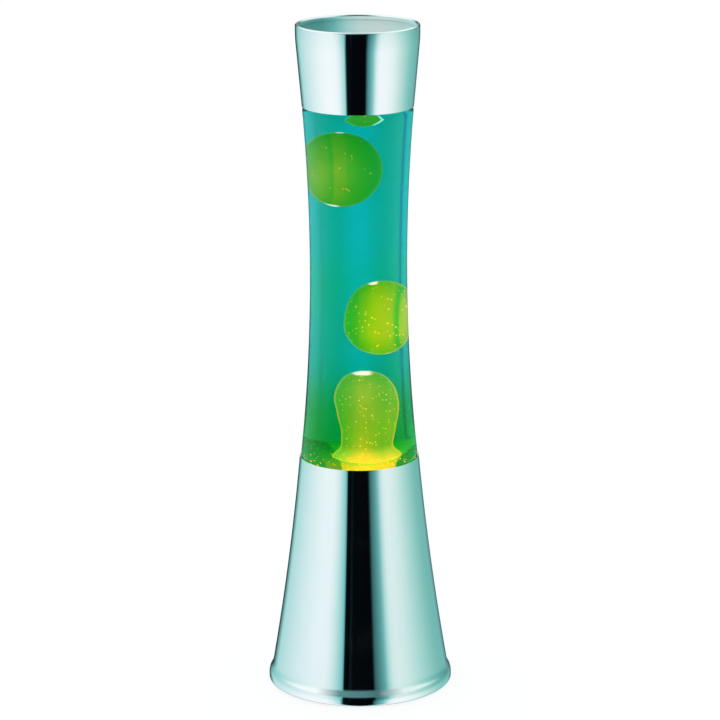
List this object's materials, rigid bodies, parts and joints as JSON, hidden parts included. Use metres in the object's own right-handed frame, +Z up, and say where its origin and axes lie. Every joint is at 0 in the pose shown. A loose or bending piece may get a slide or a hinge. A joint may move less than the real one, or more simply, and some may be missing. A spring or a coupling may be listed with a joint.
{
  "type": "lava lamp",
  "caption": "Lava lamp with a flared chromed base, a waisted glass bottle of teal liquid and lime wax, and a flared chromed cap.",
  "frame": {"origin": "on the table under the middle of the base", "axes": "+Z up along the lamp, +X right, -Y towards the viewer, cord gland at the back on +Y"},
  "size_m": [0.1088, 0.1088, 0.395],
  "materials": {
    "chrome": "mirror chrome",
    "plated_steel": "zinc plated",
    "porcelain": "glazed",
    "brass": "plain",
    "white_plastic": "matt",
    "brown_lead": "silicone",
    "blue_lead": "silicone",
    "black_plastic": "matt",
    "black_rubber": "matt",
    "solder": "dull",
    "dark_glass": "glossy",
    "lamp_glass": "clear front, mirrored back",
    "wire_metal": "bare",
    "bottle_glass": "clear",
    "liquid_teal": "clear dyed liquid",
    "wax_lime": "translucent wax",
    "coil_steel": "bare",
    "gold_steel": "lacquered tinplate",
    "liner": "matt",
    "cap_chrome": "mirror chrome outside, satin inside"
  },
  "bodies": {
    "base": {"base_shell": "chrome", "base_plate": "plated_steel", "plate_screws": "plated_steel", "bottle_seat": "plated_steel", "holder_bracket": "plated_steel", "bracket_rivets": "plated_steel", "lampholder_body": "porcelain", "lampholder_shell": "brass", "centre_contact": "brass", "holder_screws": "plated_steel", "terminal_block": "white_plastic", "terminal_screws": "brass", "block_screw": "plated_steel", "live_lead": "brown_lead", "neutral_lead": "blue_lead", "cord_gland": "black_plastic", "gland_nut": "black_plastic", "rubber_foot_1": "black_rubber", "rubber_foot_2": "black_rubber", "rubber_foot_3": "black_rubber", "rubber_foot_4": "black_rubber", "mounting_lug_1": "plated_steel", "mounting_lug_2": "plated_steel", "mounting_lug_3": "plated_steel"},
    "bulb_carriage": {"bulb_tip": "solder"},
    "bulb": {"bulb_insulator": "dark_glass", "bulb_screw_shell": "brass", "bulb_glass": "lamp_glass", "bulb_stem": "lamp_glass", "bulb_lead_wires": "wire_metal", "bulb_filament": "wire_metal"},
    "bottle": {"bottle": "bottle_glass", "liquid": "liquid_teal", "wax_column": "wax_lime", "wax_top": "wax_lime", "heat_coil": "coil_steel", "crown_cap": "gold_steel", "crown_liner": "liner"},
    "blob_upper": {"wax_blob_upper": "wax_lime"},
    "blob_middle": {"wax_blob_middle": "wax_lime"},
    "cap": {"cap_shell": "cap_chrome", "cap_pan": "cap_chrome"}
  },
  "joints": [
    {"name": "bottle_lift", "type": "slide", "parent": "base", "child": "bottle", "axis": [0, 0, 1], "range_m": [0, 0.04]},
    {"name": "cap_lift", "type": "slide", "parent": "bottle", "child": "cap", "axis": [0, 0, 1], "range_m": [0, 0.06]},
    {"name": "blob_upper_drift", "type": "slide", "parent": "bottle", "child": "blob_upper", "axis": [0, 0, 1], "range_m": [-0.018, 0.003], "deforming": ["liquid"]},
    {"name": "blob_middle_drift", "type": "slide", "parent": "bottle", "child": "blob_middle", "axis": [0, 0, 1], "range_m": [-0.009, 0.018]},
    {"name": "bulb_lift", "type": "slide", "parent": "base", "child": "bulb_carriage", "axis": [0, 0, 1], "range_m": [0, 0.01269]},
    {"name": "bulb_turn", "type": "hinge", "parent": "bulb_carriage", "child": "bulb", "pos_m": [0, 0, 0.034], "axis": [0, 0, 1], "range_deg": [0, 1621]}
  ],
  "couplings": [
    {"joint": "bulb_turn", "follows": "bulb_lift", "rad_per_m": 2228.1}
  ]
}
